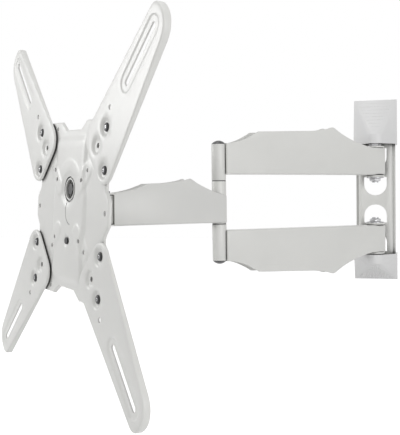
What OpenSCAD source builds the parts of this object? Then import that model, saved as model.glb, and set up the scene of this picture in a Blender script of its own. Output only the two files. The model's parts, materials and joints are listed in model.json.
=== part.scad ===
// Full-motion wall mount for a flat screen: a wall bracket, a pair of swinging arms,
// a forearm, a tilting head and a centre plate with four bolted adapters.
// Frame: X along the wall, +Y into the wall, +Z up. The origin is on the wall face,
// midway between the two wall arms. Millimetres and degrees.

/* [Pose] */
// Swing of the wall arms from square to the wall, towards -X
arm_angle = 47.6; // [30:0.1:60]
// Swing of the forearm from square to the wall, towards -X
forearm_angle = 46.5; // [30:0.1:60]
// Turn of the head from square to the wall, towards -X
head_angle = 42.3; // [30:0.1:55]
// Upward tilt of the screen plate
tilt_angle = 2.9; // [-5:0.1:5]
// Level adjustment of the screen plate
level_angle = -2.5; // [-3:0.1:3]

/* [Wall bracket] */
// Width of the bracket over its flanges
bracket_w = 62.8; // [60:0.1:63.6]
// Width of the raised channel
channel_w = 53; // [50:0.5:55]
// Depth of the bracket, from the wall to its front face
bracket_depth = 28; // [26:0.5:34]
// Thickness of the bracket's sheet
bracket_t = 2.5; // [2:0.1:3]
// Outer radius of the bracket's long bends
bracket_bend_r = 5; // [4:0.5:7]
// Half the length of the raised middle of the bracket
bracket_half = 94; // [92:0.5:98]
// Height of the bracket's top end above the origin
bracket_top = 158; // [152:1:164]
// Depth of the bracket's bottom end below the origin
bracket_bottom = 126; // [122:1:130]
// Half the height of the strip between the two middle windows
strip_half = 7.5; // [6:0.5:10]
// Width of each window
window_w = 35.4; // [34:0.1:38]
// Width of each pivot lug
lug_w = 29; // [26:0.5:31]
// Height of the two lag-screw holes above and below the origin
lag_z = 110; // [106:1:116]
// Height of the third lag-screw hole
lag_top_z = 142; // [136:1:148]
// Diameter of the lag-screw holes
lag_d = 9; // [7:0.5:10]

/* [Wall arms] */
// Length of the wall arms between their pivots
arm_len = 285; // [270:1:310]
// Height of the arms' straight edge from the middle
arm_inner_z = 39.5; // [38:0.5:42]
// Height of the arms' wall end
arm_wall_z = 82; // [80:0.5:86]
// Height of the arms' elbow end
arm_elbow_z = 83.2; // [80:0.2:84]
// Height of the arms' crest near the wall
arm_crest_z = 111; // [106:1:116]
// Thickness of the arms' sheet
arm_t = 2; // [1.5:0.1:2.5]
// Outer radius of the arms' bends
arm_bend_r = 3; // [2.6:0.1:4]
// How far the arms reach past their wall pivot
arm_tail = 9.8; // [8:0.1:10.5]

/* [Forearm] */
// Length of the forearm between its pivots
forearm_len = 171.4; // [160:0.2:190]
// Depth of the forearm's straight edge below the middle
forearm_low_z = 28.6; // [27:0.1:30]
// Height of the forearm's head end
forearm_head_z = 15; // [14:0.5:18]
// Height of the forearm's crest
forearm_crest_z = 33.4; // [30:0.2:35]

/* [Elbow] */
// Outer diameter of the pivot tubes
tube_d = 20.4; // [19:0.2:22]
// Bore of the outer elbow tubes, a snug fit on the shaft
tube_bore_d = 12.2; // [12.2:0.1:13]
// Diameter of the elbow shaft
shaft_d = 12; // [11:0.1:12]
// Half the height of the middle elbow tube
elbow_mid_z = 29.8; // [28:0.2:31]
// Outer end of the outer elbow tubes
elbow_out_z = 82.2; // [80:0.2:84]
// Height of the domed elbow caps
cap_h = 5.2; // [4:0.2:7]

/* [Head] */
// Distance from the head's swivel axis to its tilt axis
tilt_reach = 22; // [21:0.5:26]
// Distance from the tilt axis to the plate's front face
plate_reach = 28.5; // [28:0.5:32]
// Inner width of the swivel bracket
yoke_w = 48; // [44:1:54]
// Thickness of the head's brackets
head_t = 3; // [2.5:0.1:3.5]
// Radius of the cheeks' round ends
cheek_r = 12; // [11:0.5:13]
// Height of the plate's hub above its centre
hub_z = 25.5; // [22:0.5:28]
// Outer diameter of the hub cup
hub_d = 28.4; // [26:0.2:30]

/* [Screen plate] */
// Half the height of the plate at its tabs
plate_half_h = 112; // [108:1:116]
// Half the height of the plate between its tabs
plate_notch_h = 101; // [98:1:104]
// Half the width of the plate's side edges
plate_half_w = 100.5; // [99:0.5:104]
// Thickness of the plate's sheet
plate_t = 2.5; // [2:0.1:3]
// How far the plate's rim is folded back
plate_rim = 4; // [3:0.5:6]
// Height of the raised middle field
field_rise = 1.2; // [0.8:0.1:1.5]
// Inner square of screen holes, side
vesa_small = 75; // [75:25:75]
// Outer square of screen holes, side
vesa_mid = 100; // [100:50:100]
// Diameter of the screen holes
vesa_d = 5.5; // [4.5:0.1:6.5]

/* [Adapters] */
// Spacing of the slots' inner ends, across the plate
slot_inner = 294; // [280:2:310]
// Spacing of the slots' outer ends, across the plate
slot_outer = 402; // [396:2:410]
// Width of the adapters' slots
slot_w = 7.8; // [6.5:0.1:8.5]
// Thickness of the adapters' sheet
adapter_t = 2; // [1.8:0.1:2.4]
// Depth of the dished screw seats
dish_drop = 3; // [2.6:0.1:3.2]
// Deepest fold of the adapters' rim
adapter_rim = 7; // [5:0.5:9]
// Diameter of the adapter fixing holes
fix_d = 6.4; // [5.5:0.1:7]

/* [Covers] */
// Width of the plastic covers
cover_w = 68; // [66:0.5:74]
// Bottom edge of the top cover
cover_top_low = 89; // [88:0.5:90]
// Top edge of the top cover
cover_top_high = 162.5; // [160:0.5:168]
// Top edge of the bottom cover, below the origin
cover_low_high = 86.5; // [86:0.5:88]
// Bottom edge of the bottom cover, below the origin
cover_low_low = 130; // [128:0.5:136]
// Top of the top cover's nose
cover_top_nose = 104; // [101:1:110]
// Bottom of the bottom cover's nose, below the origin
cover_low_nose = 101; // [98:1:104]
// Wall of the covers
cover_t = 2; // [1.5:0.1:2.5]
// Outer radius of the covers' rounded nose
cover_nose_r = 16.5; // [16:0.5:18]

/* [Hidden] */
$fn = 48;

white_paint = "WhiteSmoke";
steel = "Silver";
dark = "DimGray";
eps = 0.01;
run_fit = 0.05;
snug_fit = 0.1;

// Places that follow from the sizes above
pivot_reach = 17;
window_r = window_w / 2 - 0.5;
window_rise = 12;
pivot_y = bracket_depth + pivot_reach;
arm_gap = 0.3;
arm_in = tube_d / 2 + arm_gap;
arm_out = arm_in + arm_t;
elbow_x = -arm_len * sin(arm_angle);
elbow_y = -pivot_y - arm_len * cos(arm_angle);
head_x = elbow_x - forearm_len * sin(forearm_angle);
head_y = elbow_y - forearm_len * cos(forearm_angle);

cover_box_h = 6;
washer_t = 0.5;
washer_r = 13;
pivot_d = 10;
lug_high = arm_inner_z - washer_t - 0.1;
lug_out = arm_wall_z + washer_t + 0.1;
sleeve_bore_r = pivot_d / 2 + run_fit;

bush_flange = 1;
bush_r = 7.5;
shaft_r = shaft_d / 2;
seam = 0.1;
elbow_in_z = elbow_mid_z + bush_flange + seam;
counter_d = 16.4;
counter_h = 8;

pin_r = 4;
pin_head_r = 5.5;
pin_head_h = 2.5;
ear_z = forearm_head_z - 0.7;
swivel_low = -forearm_low_z + arm_t + bush_flange + seam;
swivel_high = ear_z - arm_t - bush_flange - seam;
tilt_z = (swivel_low + swivel_high) / 2;

tilt_d = 8;
tilt_gap = 1.1;
yoke_out = yoke_w / 2 + head_t;
tilt_in = yoke_out + tilt_gap;
tilt_out = tilt_in + head_t;
web_w = 20;
level_v = -40;
level_d = 5;
disc_d = 58;
disc_front = plate_reach + field_rise - plate_t;
hub_floor = 1.5;
hub_flange_r = hub_d / 2 + 1.7;

// Rounded outlines: each point is [x, y, radius], listed anticlockwise

function unit2(v) = v / norm(v);
function cross2(a, b) = a[0] * b[1] - a[1] * b[0];
function xy(p) = [p[0], p[1]];

// Corner where the edges before and after point i meet when both move in by d
function inset_corner(pts, i, d) =
    let (n = len(pts), p = xy(pts[i]), a = xy(pts[(i + n - 1) % n]), b = xy(pts[(i + 1) % n]),
        e0 = unit2(p - a), e1 = unit2(b - p),
        n0 = [-e0[1], e0[0]], n1 = [-e1[1], e1[0]],
        q0 = p + d * n0, q1 = p + d * n1, k = cross2(e0, e1))
    abs(k) < 0.001 ? q0 : q0 + e0 * (cross2(q1 - q0, e1) / k);

function turns_left(pts, i) =
    let (n = len(pts), p = xy(pts[i]), a = xy(pts[(i + n - 1) % n]), b = xy(pts[(i + 1) % n]))
    cross2(p - a, b - p) > 0;

function inset_outline(pts, d) = [for (i = [0 : len(pts) - 1])
    let (c = inset_corner(pts, i, d), r = pts[i][2])
    [c[0], c[1], r == 0 ? 0 : max(0.2, turns_left(pts, i) ? r - d : r + d)]];

// Arc of steps + 1 points that rounds corner i
function corner_arc(pts, i, steps) =
    let (n = len(pts), p = xy(pts[i]), r = pts[i][2],
        ea = unit2(xy(pts[(i + n - 1) % n]) - p), eb = unit2(xy(pts[(i + 1) % n]) - p),
        half = acos(max(-1, min(1, ea * eb))) / 2,
        centre = p + unit2(ea + eb) * (r / sin(half)),
        t0 = p + ea * (r / tan(half)) - centre, t1 = p + eb * (r / tan(half)) - centre,
        a0 = atan2(t0[1], t0[0]), turn = atan2(cross2(t0, t1), t0 * t1))
    r == 0 ? [p] : [for (k = [0 : steps]) let (a = a0 + turn * k / steps) centre + r * [cos(a), sin(a)]];

function rounded(pts, steps = 6) = [for (i = [0 : len(pts) - 1]) each corner_arc(pts, i, steps)];

// Points on a curve from p0 to p2, drawn towards p1
function curve(p0, p1, p2, steps) = [for (k = [0 : steps])
    let (t = k / steps) (1 - t) * (1 - t) * p0 + 2 * t * (1 - t) * p1 + t * t * p2];

function mirror_x(pts) = [for (i = [len(pts) - 1 : -1 : 0]) [-pts[i][0], pts[i][1], pts[i][2]]];

module racetrack(p0, p1, r) {
    run = norm(p1 - p0);
    translate(p0) rotate(atan2(p1[1] - p0[1], p1[0] - p0[0])) {
        circle(r);
        translate([0, -r]) square([run, 2 * r]);
        translate([run, 0]) circle(r);
    }
}

module hex_prism(across, h) {
    cylinder(h = h, d = across / cos(30), $fn = 6);
}

module ring(r_out, r_in, h) {
    difference() {
        cylinder(h = h, r = r_out);
        translate([0, 0, -1]) cylinder(h = h + 2, r = r_in);
    }
}

// Frames of the moving parts, in their rest pose

module at_pivot() {
    translate([0, -pivot_y, 0]) children();
}

// Along the wall arms: X from the elbow to the wall pivot
module arm_frame() {
    translate([elbow_x, elbow_y, 0]) rotate([0, 0, 90 - arm_angle]) children();
}

// Along the forearm: X from the head axis to the elbow
module forearm_frame() {
    translate([head_x, head_y, 0]) rotate([0, 0, 90 - forearm_angle]) children();
}

module elbow_axis() {
    translate([elbow_x, elbow_y, 0]) children();
}

// The swivel head: X across, -Y towards the screen
module head_frame() {
    translate([head_x, head_y, 0]) rotate([0, 0, -head_angle]) children();
}

// The tilting parts: X across, Y up the plate, Z towards the screen
module tilt_frame() {
    head_frame() translate([0, -tilt_reach, tilt_z]) rotate([90 - tilt_angle, 0, 0]) children();
}

// The screen plate: origin at the plate's centre, Z = 0 on its front face
module plate_frame() {
    tilt_frame() translate([0, hub_z, plate_reach]) rotate([0, 0, level_angle])
        translate([0, -hub_z, 0]) children();
}

// Wall bracket

function bracket_section(inset) =
    let (x = channel_w / 2 - inset, r = bracket_bend_r - inset, y = -bracket_depth + inset)
    rounded([[-x, 1, 0], [-x, y, r], [x, y, r], [x, 1, 0]]);

// One end of each window is round, the other is where its lug folds out
module window(z0, z1) {
    half = window_w / 2;
    translate([0, -bracket_depth + bracket_t + 1, 0]) rotate([90, 0, 0])
        linear_extrude(bracket_t + 2)
            polygon(rounded([[-half, z0, window_r], [half, z0, window_r], [half, z1, 0], [-half, z1, 0]]));
}

module lug(z) {
    nose_r = lug_w / 2;
    translate([0, 0, z]) difference() {
        union() {
            translate([-nose_r, -pivot_y, 0]) cube([lug_w, pivot_reach + bracket_t, bracket_t]);
            at_pivot() cylinder(h = bracket_t, r = nose_r);
        }
        at_pivot() translate([0, 0, -1]) cylinder(h = bracket_t + 2, r = sleeve_bore_r + snug_fit);
    }
}

module bracket_half_lugs() {
    lug(lug_high - bracket_t);
    lug(lug_out);
}

module wall_bracket() {
    color(white_paint) difference() {
        union() {
            difference() {
                translate([0, 0, -bracket_half]) linear_extrude(2 * bracket_half)
                    polygon(bracket_section(0));
                translate([0, 0, -bracket_half + bracket_t]) linear_extrude(2 * (bracket_half - bracket_t))
                    polygon(bracket_section(bracket_t));
                translate([-bracket_w, 0, -bracket_half - 1]) cube([2 * bracket_w, 5, 2 * bracket_half + 2]);
                for (side = [0, 1]) mirror([0, 0, side]) {
                    window(strip_half, lug_high - bracket_t);
                    window(lug_high + window_rise, lug_out);
                }
            }
            for (side = [0, 1]) mirror([0, 0, side]) bracket_half_lugs();
            difference() {
                translate([-bracket_w / 2, -bracket_t, -bracket_bottom])
                    cube([bracket_w, bracket_t, bracket_bottom + bracket_top]);
                translate([-channel_w / 2 + bracket_t, -bracket_t - 1, -bracket_half + bracket_t])
                    cube([channel_w - 2 * bracket_t, bracket_t + 2, 2 * (bracket_half - bracket_t)]);
            }
        }
        for (z = [lag_z, -lag_z, lag_top_z]) translate([0, 1, z]) rotate([90, 0, 0])
            cylinder(h = bracket_t + 2, d = lag_d);
    }
}

// Covers: each is a shell between the bracket's end and a rounded nose

// From the open edge at z_edge to the far end at z_end, with the nose up to z_nose
module cover_form(z_edge, z_nose, z_end, inset) {
    half = cover_w / 2 - inset;
    box = bracket_depth + cover_t + 1 - inset;
    shelf = 8 - inset;
    hull() {
        translate([-half, -box, z_edge]) cube([2 * half, box, cover_box_h]);
        translate([-half, -shelf, z_edge]) cube([2 * half, shelf, z_end - z_edge - inset]);
        at_pivot() translate([0, 0, z_edge])
            cylinder(h = z_nose - z_edge - inset, r = cover_nose_r - inset, $fn = 32);
    }
}

module cover_shell(z_edge, z_nose, z_end) {
    difference() {
        cover_form(z_edge, z_nose, z_end, 0);
        translate([0, eps, -eps]) cover_form(z_edge, z_nose, z_end, cover_t);
    }
}

module cover_top() {
    color(white_paint) cover_shell(cover_top_low, cover_top_nose, cover_top_high);
}

module cover_bottom() {
    color(white_paint) mirror([0, 0, 1]) cover_shell(cover_low_high, cover_low_nose, cover_low_low);
}

// Wall pivot hardware

pivot_head_h = 6.4;
pivot_nut_h = 6;
nut_flange_r = 13.5;
pivot_tail = 3;

module pivot_bolt() {
    low = lug_high - bracket_t - pivot_nut_h - pivot_tail;
    at_pivot() {
        translate([0, 0, low]) cylinder(h = lug_out + bracket_t - low + eps, r = pivot_d / 2);
        translate([0, 0, lug_out + bracket_t]) hex_prism(17, pivot_head_h);
    }
}

module pivot_bolt_upper() {
    color(steel) pivot_bolt();
}

module pivot_bolt_lower() {
    color(steel) mirror([0, 0, 1]) pivot_bolt();
}

module pivot_nut() {
    at_pivot() translate([0, 0, lug_high - bracket_t - pivot_nut_h]) difference() {
        union() {
            translate([0, 0, pivot_nut_h - 1.5]) cylinder(h = 1.5, r = nut_flange_r);
            hex_prism(17, pivot_nut_h - 1);
        }
        translate([0, 0, -1]) cylinder(h = pivot_nut_h + 2, r = pivot_d / 2 + run_fit);
    }
}

module pivot_nuts() {
    color(steel) for (side = [0, 1]) mirror([0, 0, side]) pivot_nut();
}

module pivot_washers() {
    color(dark) for (side = [0, 1]) mirror([0, 0, side]) at_pivot() {
        translate([0, 0, lug_high]) ring(washer_r, sleeve_bore_r, washer_t);
        translate([0, 0, lug_out - washer_t]) ring(washer_r, sleeve_bore_r, washer_t);
    }
}

// Wall arms: folded channels, open along the decorative edge

arm_start = tube_d / 2 - 4;
arm_end = arm_len + arm_tail;
arm_flat_z0 = 100.9;
arm_flat_z1 = 104.7;
arm_flat_s0 = 58.5;
arm_flat_s1 = 154;
arm_crest_s = 191;
arm_rise_s = arm_len - lug_w / 2 - 1.5;

// The crest's points, taken from its top
function arm_crest(ds, dz) = [arm_crest_s + ds, arm_crest_z + dz];

function arm_outline() = concat(
    [[arm_start, arm_inner_z], [arm_end, arm_inner_z], [arm_end, arm_wall_z]],
    curve([arm_rise_s, arm_wall_z], arm_crest(35, -21), arm_crest(6, -2), 10),
    curve(arm_crest(4, -1), arm_crest(1, 1), arm_crest(-5, -1), 4),
    curve(arm_crest(-8, -2.2), [arm_crest_s - 20, arm_flat_z1 + 1.4], [arm_flat_s1, arm_flat_z1], 6),
    curve([arm_flat_s0, arm_flat_z0], [34, 85.6], [arm_start + 5, arm_elbow_z], 8),
    [[arm_start, arm_elbow_z]]);

// Bounds of a folded channel: U section along X, with a rounded closed end at x_end
module channel_bounds(x_end, z_fold, closed, inset) {
    half = arm_out - inset;
    r = arm_bend_r - inset;
    end_r = closed ? r : 0;
    long = 320;
    intersection() {
        translate([x_end + (closed ? inset : -inset), 0, z_fold - 1]) linear_extrude(220)
            polygon(rounded([[0, -half, end_r], [long, -half, 0], [long, half, 0], [0, half, end_r]]));
        translate([x_end - 1, 0, z_fold + inset]) rotate([90, 0, 90]) linear_extrude(long + 1)
            polygon(rounded([[-half, 0, r], [half, 0, r], [half, 200, 0], [-half, 200, 0]]));
    }
}

// Folded sheet channel with the given side outline, open along its far edge
module channel(outline, x_end, z_fold, closed) {
    difference() {
        intersection() {
            translate([0, arm_out + 1, 0]) rotate([90, 0, 0])
                linear_extrude(2 * arm_out + 2) polygon(outline);
            channel_bounds(x_end, z_fold, closed, 0);
        }
        channel_bounds(x_end, z_fold, closed, arm_t);
    }
}

module wall_arm() {
    arm_frame() difference() {
        channel(arm_outline(), arm_start, arm_inner_z, true);
        translate([0, 0, arm_inner_z - 1]) cylinder(h = 80, r = tube_d / 2 + snug_fit / 2);
        translate([arm_len, 0, arm_inner_z - 1]) cylinder(h = arm_t + 2, r = sleeve_bore_r + snug_fit);
    }
}

module arm_upper() {
    color(white_paint) wall_arm();
}

module arm_lower() {
    color(white_paint) mirror([0, 0, 1]) wall_arm();
}

module pivot_sleeves() {
    color(steel) for (side = [0, 1]) mirror([0, 0, side]) at_pivot() translate([0, 0, arm_inner_z + arm_t])
        ring(tube_d / 2, sleeve_bore_r, arm_wall_z - arm_inner_z - arm_t);
}

// Elbow

module elbow_tube_outer() {
    elbow_axis() difference() {
        translate([0, 0, elbow_in_z]) ring(tube_d / 2, tube_bore_d / 2, elbow_out_z - elbow_in_z);
        translate([0, 0, elbow_out_z - counter_h]) cylinder(h = counter_h + 1, d = counter_d);
    }
}

module elbow_tube_upper() {
    color(white_paint) elbow_tube_outer();
}

module elbow_tube_lower() {
    color(white_paint) mirror([0, 0, 1]) elbow_tube_outer();
}

shaft_head_h = 5;
shaft_seat_z = elbow_out_z - counter_h;

module elbow_shaft() {
    color(steel) elbow_axis() {
        translate([0, 0, -elbow_out_z + 1]) cylinder(h = elbow_out_z - 1 + shaft_seat_z + eps, r = shaft_r);
        translate([0, 0, shaft_seat_z]) cylinder(h = shaft_head_h, d = counter_d - 0.6);
    }
}

module elbow_nut() {
    color(steel) elbow_axis() translate([0, 0, -shaft_seat_z - 5.5])
        ring((counter_d - 0.6) / 2, shaft_r + run_fit, 5.5);
}

module elbow_cap() {
    // Domed plastic plug: a skirt in the tube's counterbore under a low dome
    skirt = 2;
    rise = cap_h;
    dome_r = (tube_d * tube_d / 4 + rise * rise) / (2 * rise);
    elbow_axis() translate([0, 0, elbow_out_z]) {
        translate([0, 0, -skirt]) ring(counter_d / 2 - snug_fit, shaft_r + 0.5, skirt + eps);
        intersection() {
            cylinder(h = rise + 1, d = tube_d);
            translate([0, 0, rise - dome_r]) sphere(r = dome_r, $fn = 64);
        }
    }
}

module elbow_cap_upper() {
    color(dark) elbow_cap();
}

module elbow_cap_lower() {
    color(dark) mirror([0, 0, 1]) elbow_cap();
}

module elbow_tube_middle() {
    color(white_paint) elbow_axis() translate([0, 0, -elbow_mid_z])
        ring(tube_d / 2, bush_r, 2 * elbow_mid_z);
}

module flanged_bush(r_out, r_in, flange_r, len) {
    // Stands on the outer face of its flange, the barrel upwards
    difference() {
        union() {
            cylinder(h = bush_flange, r = flange_r);
            cylinder(h = len, r = r_out);
        }
        translate([0, 0, -1]) cylinder(h = len + 2, r = r_in);
    }
}

module elbow_bushes() {
    color(dark) elbow_axis() for (side = [0, 1]) mirror([0, 0, side])
        translate([0, 0, -elbow_mid_z - bush_flange])
            flanged_bush(bush_r - run_fit, shaft_r + run_fit, tube_d / 2 - 0.5, 16);
}

// Forearm: a folded channel with a fork for the head's pivot at its free end

forearm_start = 7;
forearm_end = forearm_len + 5;
fore_flat_z = 26.6;
fore_crest_s = 117.5;
ear_r = 9.8;
ear_reach = 22;

function forearm_outline() = concat(
    [[forearm_start, -forearm_low_z], [forearm_end, -forearm_low_z], [forearm_end, 9]],
    curve([forearm_end - 0.5, 9.2], [fore_crest_s + 20, 20], [fore_crest_s + 3, forearm_crest_z - 0.6], 8),
    curve([fore_crest_s + 1, forearm_crest_z], [fore_crest_s - 14, fore_flat_z + 1.8],
        [80, fore_flat_z + 0.8], 6),
    curve([56.3, fore_flat_z], [34, forearm_head_z + 2], [forearm_start + 4, forearm_head_z], 8),
    [[forearm_start, forearm_head_z - 3]]);

module fork_ear(z) {
    translate([0, 0, z]) difference() {
        union() {
            cylinder(h = arm_t, r = ear_r);
            translate([0, -arm_in - eps, 0]) cube([ear_reach, 2 * (arm_in + eps), arm_t]);
        }
        translate([0, 0, -1]) cylinder(h = arm_t + 2, r = pin_r + snug_fit);
    }
}

module forearm() {
    color(white_paint) forearm_frame() difference() {
        union() {
            channel(forearm_outline(), forearm_start, -forearm_low_z, false);
            fork_ear(-forearm_low_z);
            fork_ear(ear_z - arm_t);
        }
        translate([forearm_len, 0, -forearm_low_z - 1]) cylinder(h = 80, r = tube_d / 2 + snug_fit / 2);
    }
}

module swivel_pin() {
    color(dark) translate([head_x, head_y, 0]) {
        translate([0, 0, -forearm_low_z - pin_head_h]) cylinder(h = pin_head_h, r = pin_head_r);
        translate([0, 0, -forearm_low_z - eps]) cylinder(h = forearm_low_z + ear_z + 2 * eps, r = pin_r);
        translate([0, 0, ear_z]) cylinder(h = pin_head_h, r = pin_head_r);
    }
}

// Swivel head

module swivel_tube() {
    color(white_paint) translate([head_x, head_y, swivel_low])
        ring(tube_d / 2, bush_r, swivel_high - swivel_low);
}

module swivel_bushes() {
    color(dark) translate([head_x, head_y, 0]) {
        translate([0, 0, swivel_low - bush_flange])
            flanged_bush(bush_r - run_fit, pin_r + run_fit, tube_d / 2 - 0.5, 12);
        mirror([0, 0, 1]) translate([0, 0, -swivel_high - bush_flange])
            flanged_bush(bush_r - run_fit, pin_r + run_fit, tube_d / 2 - 0.5, 12);
    }
}

// A side of the swivel bracket, with the bolt's bore on the origin
module swivel_cheek(reach) {
    difference() {
        union() {
            translate([0, 0, -head_t / 2]) cylinder(h = head_t, r = cheek_r);
            translate([-cheek_r, 0, -head_t / 2]) cube([2 * cheek_r, reach, head_t]);
        }
        cylinder(h = 20, r = tilt_d / 2 + run_fit, center = true);
    }
}

module swivel_bracket() {
    back_y = tube_d / 2 + snug_fit / 2;
    high = swivel_high - swivel_low;
    color(white_paint) head_frame() {
        translate([-yoke_out, -back_y - head_t, swivel_low]) cube([2 * yoke_out, head_t, high]);
        for (side = [-1, 1]) translate([side * (yoke_out - head_t / 2), -tilt_reach, tilt_z])
            rotate([0, 90, 0]) swivel_cheek(tilt_reach - back_y - eps);
    }
}

// Tilt head

module tilt_bracket() {
    top = hub_z + 22;
    low = level_v - 10;
    color(white_paint) tilt_frame() difference() {
        union() {
            translate([0, 0, web_w]) linear_extrude(head_t) polygon(rounded(
                [[-tilt_out, low, 8], [tilt_out, low, 8], [tilt_out, top, 14], [-tilt_out, top, 14]]));
            for (side = [-1, 1]) translate([side * (tilt_in + tilt_out) / 2, 0, 0]) rotate([0, 90, 0]) {
                translate([0, 0, -head_t / 2]) cylinder(h = head_t, r = cheek_r);
                translate([-web_w - eps, -cheek_r, -head_t / 2]) cube([web_w + eps, 2 * cheek_r, head_t]);
            }
        }
        rotate([0, 90, 0]) cylinder(h = 4 * tilt_out, r = tilt_d / 2 + snug_fit, center = true);
        translate([0, hub_z, web_w - 1]) cylinder(h = head_t + 2, r = 4.2);
        translate([0, level_v, web_w - 1]) linear_extrude(head_t + 2)
            racetrack([-4.5, 0], [4.5, 0], level_d / 2 + 0.4);
    }
}

tilt_bolt_af = 13;
tilt_nut_h = 6.5;
tilt_washer_r = 11;

module tilt_bolt() {
    color(steel) tilt_frame() rotate([0, 90, 0]) {
        translate([0, 0, -tilt_out - 9]) cylinder(h = 2 * tilt_out + 9 + eps, r = tilt_d / 2);
        translate([0, 0, tilt_out]) hex_prism(tilt_bolt_af, 5.3);
    }
}

module tilt_nut() {
    color(steel) tilt_frame() rotate([0, 90, 0]) translate([0, 0, -tilt_out - tilt_nut_h]) difference() {
        hex_prism(tilt_bolt_af, tilt_nut_h);
        translate([0, 0, -1]) cylinder(h = 9, r = tilt_d / 2 + run_fit);
    }
}

module tilt_washers() {
    color(dark) tilt_frame() rotate([0, 90, 0]) for (side = [-1, 1])
        translate([0, 0, side * (tilt_in - 0.5) - 0.5]) ring(tilt_washer_r, tilt_d / 2 + snug_fit, 1);
}

// Friction disc fixed behind the plate: it turns on the hub cup's neck, under the cup's flange
module level_disc() {
    color(dark) tilt_frame() translate([0, hub_z, web_w + head_t + seam])
        ring(disc_d / 2, hub_d / 2 + run_fit, disc_front - web_w - head_t - seam);
}

module hub_cup() {
    base = web_w + head_t;
    color(white_paint) tilt_frame() translate([0, hub_z, 0]) difference() {
        union() {
            translate([0, 0, base]) cylinder(h = plate_reach + field_rise - base, r = hub_d / 2);
            translate([0, 0, disc_front + seam]) cylinder(h = 1, r = hub_flange_r);
        }
        translate([0, 0, base + hub_floor]) cylinder(h = 30, r = hub_d / 2 - 1.9);
        translate([0, 0, base - 1]) cylinder(h = 6, r = 4.2);
    }
}

module hub_bolt() {
    base = web_w + head_t + hub_floor;
    color(dark) tilt_frame() translate([0, hub_z, 0]) {
        translate([0, 0, web_w - 9]) cylinder(h = base - web_w + 9 + eps, r = 4);
        translate([0, 0, base]) cylinder(h = 0.8, r = 9.5);
        translate([0, 0, base + 0.8 - eps]) hex_prism(13, 3.2);
    }
}

module hub_nut() {
    color(steel) tilt_frame() translate([0, hub_z, web_w - 6.5]) difference() {
        hex_prism(13, 6.5);
        translate([0, 0, -1]) cylinder(h = 9, r = 4 + run_fit);
    }
}

// Screen plate: a pressed sheet with a folded rim, a raised field and raised screw pads

ear_out = 11;
tab_out = 9;
// Outline of the whole plate, anticlockwise from the right ear
function plate_outline() =
    let (q = [[plate_half_w + ear_out, 14, 8], [plate_half_w, 27, 8], [plate_half_w, 36, 3],
            [plate_half_w + tab_out, 43, 5], [plate_half_w + tab_out, plate_half_h, 14],
            [39, plate_half_h, 4], [22, plate_notch_h, 5]])
    concat(q, mirror_x(q),
        [for (p = q) [-p[0], -p[1], p[2]]],
        mirror_x([for (p = q) [-p[0], -p[1], p[2]]]));

field_w = 56;
field_waist_w = 44;
field_h = 88;
function field_outline() =
    let (q = [[field_w, -26, 8], [field_w, 26, 8], [field_waist_w, 46, 10], [field_waist_w, field_h, 8]])
    concat(q, mirror_x(q), [[-field_waist_w, -46, 10], [-field_waist_w, -field_h, 8],
        [field_waist_w, -field_h, 8], [field_waist_w, -46, 10]]);

// Distance of the adapter fixing holes inside the plate's side edges
fix_inset = 0.5;
fix_points = [[plate_half_w - fix_inset, 50], [plate_half_w - fix_inset, 100]];
tab_hole = [50, 103];
pad_top = field_rise + 0.5;
pad_ends = [[31, 27], [51, 51]];
pad_r = 9;

module four_ways() {
    for (sx = [0, 1], sy = [0, 1]) mirror([sx, 0, 0]) mirror([0, sy, 0]) children();
}

module plate_holes() {
    through = 40;
    four_ways() {
        for (side = [vesa_small / 2, vesa_mid / 2]) translate([side, side, -through / 2])
            cylinder(h = through, d = vesa_d);
        for (p = fix_points) translate([p[0], p[1], -through / 2]) cylinder(h = through, d = fix_d);
        translate([adapter_spare[0], adapter_spare[1], -through / 2]) cylinder(h = through, d = fix_d);
        translate([tab_hole[0], tab_hole[1], -through / 2]) cylinder(h = through, d = vesa_d);
    }
    for (side = [-1, 1]) translate([side * (plate_half_w + 1), 0, -through / 2])
        cylinder(h = through, d = fix_d);
    translate([0, hub_z, -through / 2]) cylinder(h = through, r = hub_flange_r + 0.3);
    translate([0, level_v, -through / 2]) cylinder(h = through, r = level_d / 2 + snug_fit);
}

module screen_plate() {
    inner = inset_outline(plate_outline(), plate_t);
    color(white_paint) plate_frame() difference() {
        union() {
            translate([0, 0, -plate_rim]) linear_extrude(plate_rim) polygon(rounded(plate_outline(), 4));
            linear_extrude(field_rise) polygon(rounded(field_outline(), 4));
            four_ways() linear_extrude(pad_top) racetrack(pad_ends[0], pad_ends[1], pad_r);
        }
        translate([0, 0, -plate_rim - 1]) linear_extrude(plate_rim + 1 - plate_t) polygon(rounded(inner, 4));
        translate([0, 0, -plate_t - 1]) linear_extrude(1 + field_rise)
            polygon(rounded(inset_outline(field_outline(), plate_t), 4));
        plate_holes();
    }
}

module level_screw() {
    color(dark) plate_frame() translate([0, level_v, 0]) {
        translate([0, 0, field_rise]) cylinder(h = 2, r = 4.2);
        translate([0, 0, -14]) cylinder(h = 14 + field_rise + eps, r = level_d / 2);
    }
}

module level_nut() {
    nut_top = web_w - plate_reach - seam;
    color(steel) plate_frame() translate([0, level_v, nut_top - 4]) difference() {
        union() {
            hex_prism(8, 4);
            translate([0, 0, 3]) cylinder(h = 1, r = 6);
        }
        translate([0, 0, -1]) cylinder(h = 6, r = level_d / 2 + run_fit);
    }
}

// Adapters: four bolted arms that widen the hole pattern

adapter_back = dish_drop;
adapter_front = adapter_back + adapter_t;
adapter_rim_s0 = 90;
adapter_rim_s1 = 310;
adapter_spare = [79, 79];
adapter_light = [111, 122];
slot_pad_drop = 1;
slot_pad_r = 11;
dish_r = 8;
dish_lip_r = 10.5;

function adapter_outline() =
    [[39.2, 89, 22], [plate_half_w + 4.9, 19.5, 24], [234.7, 204.6, 28], [201.9, 229.9, 13]];

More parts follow.
